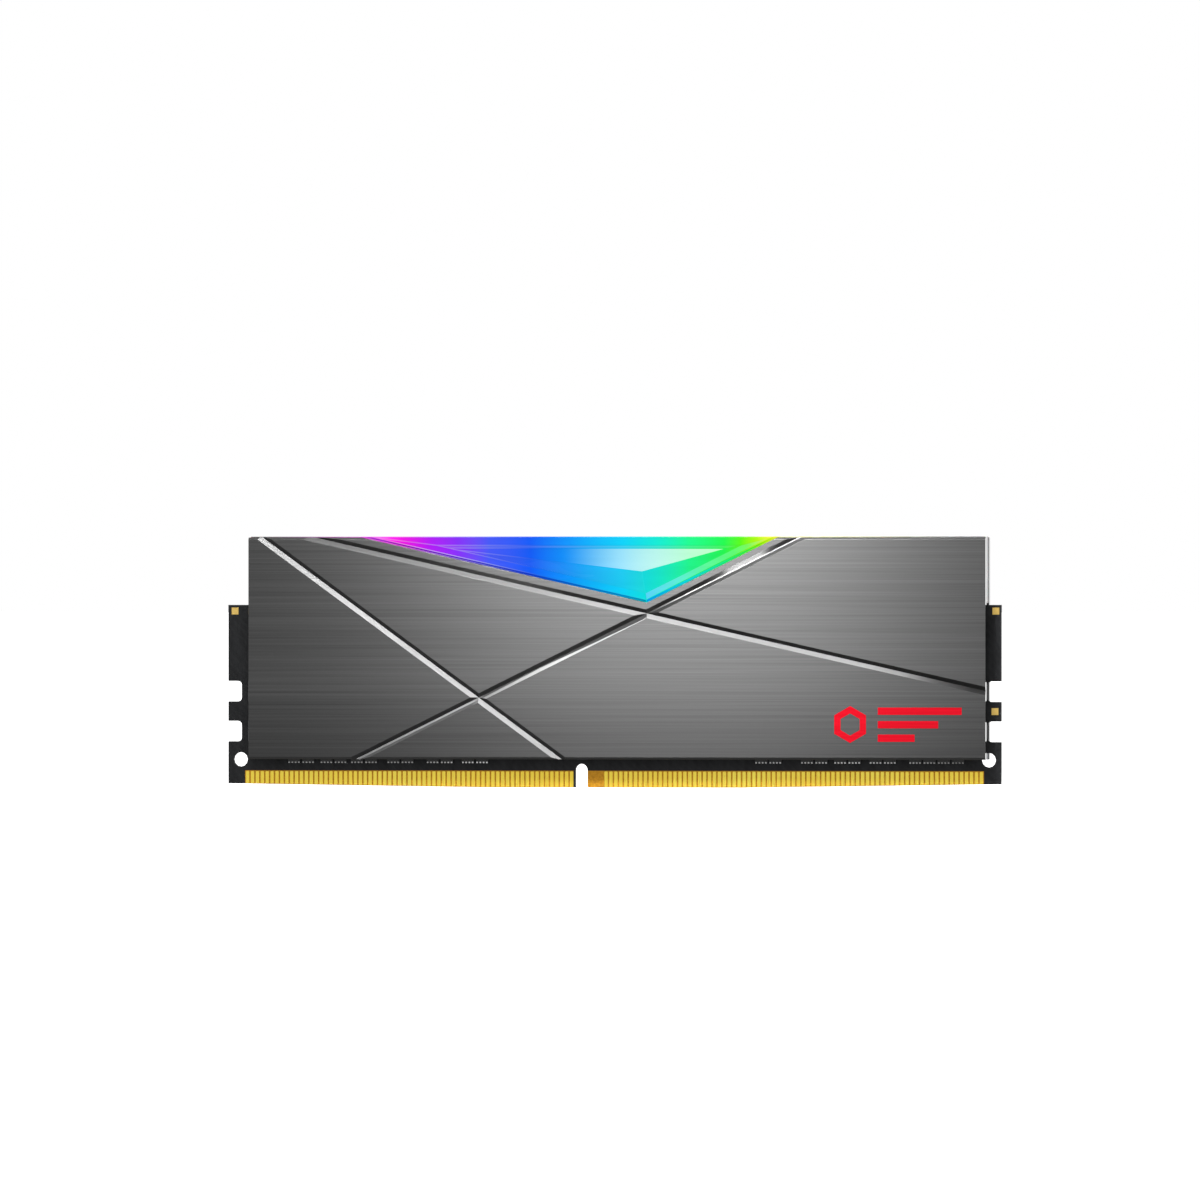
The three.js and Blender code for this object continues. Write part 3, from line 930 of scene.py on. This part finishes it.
def lens_materials():
    """Materials of the bevel's, rim's and field's facets, of the pale triangle and of the creases. Each
    facet's gain is painted shade and its pale a painted highlight; the pale triangle is a painted
    highlight.
    """
    return [
        lens_material("lens_bevel_right", 0.88, stretch=1.6),
        lens_material("lens_bevel_top", 0.95),
        lens_material("lens_bevel_left", 0.62, deep=0.5),
        lens_material("lens_rim_right", 0.93, pale=0.1, stretch=1.18),
        lens_material("lens_rim_top", 0.93),
        lens_material("lens_rim_left", 0.94),
        lens_material("lens_field_right", 0.86),
        lens_material("lens_field_top", 0.92, pale=0.05),
        lens_material("lens_field_left", 0.84),
        lens_material("lens_heart", 0.9, pale=0.5, pale_from=-9.0, pale_to=9.0),
        crease_material("lens_crease"),
    ]


def light_bar(material):
    """The milky bar between the plates, with rounded edges."""
    low, high = millimetres("light_guide")
    bm = bmesh.new()
    box_prism(bm, low.x, high.x, low.z, high.z, -BAR_HALF, BAR_HALF)
    piece = finish_piece("light_bar", bm, [material], "light_guide", "light_guide")
    round_edges(piece, BAR_EDGE, segments=3)


# ---------------------------------------------------------------- contacts


def contact_outline(left, right, top):
    """One contact: a rectangle whose top corners are rounded."""
    points = [(left, edge_height(left) + CONTACT_INSET), (right, edge_height(right) + CONTACT_INSET)]
    for centre, start in ((right - CONTACT_CORNER, 0.0), (left + CONTACT_CORNER, math.pi / 2)):
        for i in range(ARC_STEPS + 1):
            angle = start + i * math.pi / 2 / ARC_STEPS
            x = centre + CONTACT_CORNER * math.cos(angle)
            z = top - CONTACT_CORNER + CONTACT_CORNER * math.sin(angle)
            points.append((x, z))
    return points


def contact_row(face, group, material):
    """The separate contacts of one face, left or right of the key."""
    node = f"{face}_contacts_{group}"
    low, high = millimetres(node)
    count = CONTACT_COUNTS[group]
    pitch = (high.x - low.x - CONTACT_WIDTH) / (count - 1)
    bm = bmesh.new()
    for i in range(count):
        left = low.x + i * pitch
        prism(bm, contact_outline(left, left + CONTACT_WIDTH, high.z), low.y, high.y)
    piece = finish_piece(f"{face}_{group}_contact_row", bm, [material], "gold", node)
    round_edges(piece, CONTACT_EDGE, segments=1, angle=SQUARE_EDGE_ANGLE)


# ---------------------------------------------------------------- parts on the board


def resistor_array(number, materials):
    """A ceramic block with four wrapped tin terminals on each long side."""
    node = f"resistor_array_{number}"
    low, high = millimetres(node)
    bm = bmesh.new()
    bottom = low.z + 2 * ARRAY_SKIN
    top = high.z - 2 * ARRAY_SKIN
    box_prism(bm, low.x, high.x, bottom, top, low.y + ARRAY_SKIN, high.y)
    pitch = (high.x - low.x - 2 * TERMINAL_INSET + TERMINAL_GAP) / TERMINALS
    for i in range(TERMINALS):
        left = low.x + TERMINAL_INSET + i * pitch
        right = left + pitch - TERMINAL_GAP
        box_prism(bm, left, right, low.z, low.z + TERMINAL_REACH, low.y, high.y, 1)
        box_prism(bm, left, right, high.z - TERMINAL_REACH, high.z, low.y, high.y, 1)
    piece = finish_piece(f"resistor_block_{number}", bm, materials, "resistor", node)
    round_edges(piece, ARRAY_EDGE, angle=SQUARE_EDGE_ANGLE)


def dress(node, material, width=None, segments=2):
    """Gives a kept CAD node its material and, with a width in millimetres, rounded edges."""
    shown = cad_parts[node]
    shown.data.materials.clear()
    shown.data.materials.append(material)
    if width:
        weld = shown.modifiers.new("joined_corners", "WELD")
        weld.merge_threshold = WELD_GAP * MM
        round_edges(shown, width, segments, angle=SQUARE_EDGE_ANGLE)


def dress_board_parts():
    """Materials for the CAD nodes that stay: board, square pads, thermal pads, chips and LEDs."""
    dress("circuit_board", board_material("black_board"))
    gold = gold_material("pad_gold", (0.84, 0.70, 0.36), (0.92, 0.78, 0.44))
    for node in ("corner_pad_left", "corner_pad_right", "tab_pad_right"):
        dress(node, gold, PAD_EDGE, segments=1)
    pad = thermal_pad_material("thermal_silicone")
    for node in ("front_thermal_pad", "back_thermal_pad"):
        dress(node, pad, SILICONE_EDGE)
    mould = mould_material("chip_mould")
    chips = [f"dram_chip_{i + 1}" for i in range(8)] + ["spd_memory_chip", "light_controller"]
    for node in chips:
        dress(node, mould, CHIP_EDGE)
    lamp = led_material("led_package")
    for face in ("front", "back"):
        for i in range(5):
            dress(f"{face}_led_{i + 1}", lamp, LED_EDGE)


# ---------------------------------------------------------------- studio


def studio_floor():
    """A plain white floor far larger than the view, which neither lights the module nor shows in it."""
    material, tree, shader = new_material("white_floor")
    cloud = grain(tree, (4, 4, 4), detail=1.0)
    feed(tree, mottle(tree, cloud, grey(0.93), grey(0.95)), shader.inputs["Base Color"])
    shader.inputs["Roughness"].default_value = 0.9
    shader.inputs["Specular IOR Level"].default_value = 0.0
    shader.inputs["Emission Color"].default_value = (1, 1, 1, 1)
    shader.inputs["Emission Strength"].default_value = 0.9
    mesh = bpy.data.meshes.new("studio_floor")
    corners = [(FLOOR_HALF * x, FLOOR_HALF * y, 0) for x, y in ((-1, -1), (1, -1), (1, 1), (-1, 1))]
    mesh.from_pydata(corners, [], [(0, 1, 2, 3)])
    mesh.materials.append(material)
    floor = bpy.data.objects.new("studio_floor", mesh)
    bpy.context.scene.collection.objects.link(floor)
    floor.location.z = CAD_BOX[0].z - FLOOR_DROP
    floor.visible_diffuse = False
    floor.visible_glossy = False


def studio_world():
    """Plain white to the camera; to other rays a soft room, brighter overhead, to the right and behind."""
    world = bpy.data.worlds.new("studio")
    bpy.context.scene.world = world
    world.use_nodes = True
    tree = world.node_tree
    output = tree.nodes["World Output"]
    room = tree.nodes["Background"]
    coordinates = add_node(tree, "TexCoord")
    split = add_node(tree, "SeparateXYZ")
    tree.links.new(coordinates.outputs["Generated"], split.inputs[0])
    x, y, z = split.outputs
    overhead = remap(tree, z, 0.72, 0.97, 0.0, 0.6, smooth=True)
    beside = remap(tree, x, 0.9, 0.98, 0.0, 0.6, smooth=True)
    backdrop = remap(tree, y, 0.93, 0.985, 0.0, 0.4, smooth=True)
    below = remap(tree, z, -0.4, 0.0, -0.25, 0.0, smooth=True)
    light = plus(tree, plus(tree, overhead, backdrop), plus(tree, below, ROOM_LIGHT))
    light = plus(tree, light, beside)
    tree.links.new(light, room.inputs["Color"])
    white = add_node(tree, "Background")
    path = add_node(tree, "LightPath")
    choose = add_node(tree, "MixShader")
    tree.links.new(path.outputs["Is Camera Ray"], choose.inputs[0])
    tree.links.new(room.outputs[0], choose.inputs[1])
    tree.links.new(white.outputs[0], choose.inputs[2])
    white.inputs["Color"].default_value = (1, 1, 1, 1)
    tree.links.new(choose.outputs[0], output.inputs["Surface"])


def softbox(name, position):
    """A soft rectangular light with a grid, aimed just over the module's top."""
    data = bpy.data.lights.new(name, "AREA")
    data.shape = "RECTANGLE"
    data.size, data.size_y = SOFTBOX_SIZE
    data.energy = SOFTBOX_POWER
    data.spread = math.radians(SOFTBOX_SPREAD)
    light = bpy.data.objects.new(name, data)
    bpy.context.scene.collection.objects.link(light)
    light.location = position
    light.rotation_mode = "QUATERNION"
    light.rotation_quaternion = (Vector(SOFTBOX_TARGET) - Vector(position)).to_track_quat("-Z", "Y")
    light.visible_camera = False


def studio_lights():
    """A softbox above and before each face of the module, so that the light fades towards its foot, where
    the plates also carry painted shade.
    """
    softbox("front_softbox", FRONT_SOFTBOX)
    softbox("back_softbox", BACK_SOFTBOX)


def studio_camera():
    """A long lens, level, a little to the right of the module's front."""
    data = bpy.data.cameras.new("view")
    data.lens = VIEW_LENS
    data.sensor_width = VIEW_SENSOR
    camera = bpy.data.objects.new("view", data)
    bpy.context.scene.collection.objects.link(camera)
    along = Vector((math.cos(VIEW_AZIMUTH), math.sin(VIEW_AZIMUTH), 0))
    back = Vector((math.sin(VIEW_AZIMUTH), -math.cos(VIEW_AZIMUTH), 0))
    target = along * VIEW_CENTRE_ALONG * MM + Vector((0, 0, VIEW_CENTRE_UP * MM))
    distance = VIEW_WIDTH * MM * VIEW_LENS / VIEW_SENSOR
    camera.location = target + back * distance
    camera.rotation_mode = "QUATERNION"
    camera.rotation_quaternion = (-back).to_track_quat("-Z", "Y")
    data.clip_start = 0.05
    data.clip_end = 100
    bpy.context.scene.camera = camera
    bpy.context.scene.view_settings.view_transform = "Standard"
    bpy.context.scene.view_settings.look = "None"


def build():
    """Every piece of the module."""
    plates = plate_materials()
    heat_spreader_plate("front_spreader", "front_plate", plates)
    heat_spreader_plate("back_spreader", "back_plate", plates)
    printed_mark()
    lenses = lens_materials()
    lens_piece("front_lens", -1, lenses)
    lens_piece("back_lens", 1, lenses)
    light_bar(milky_acrylic("milky_acrylic"))
    gold = gold_material("contact_gold", (1.0, 0.86, 0.29), (1.0, 0.91, 0.36))
    for face in ("front", "back"):
        for group in CONTACT_COUNTS:
            contact_row(face, group, gold)
    array_looks = [ceramic_material("resistor_ceramic"), tin_material("solder_tin")]
    for number in range(1, ARRAY_COUNT + 1):
        resistor_array(number, array_looks)
    dress_board_parts()


studio_camera()
studio_floor()
studio_world()
studio_lights()
build()
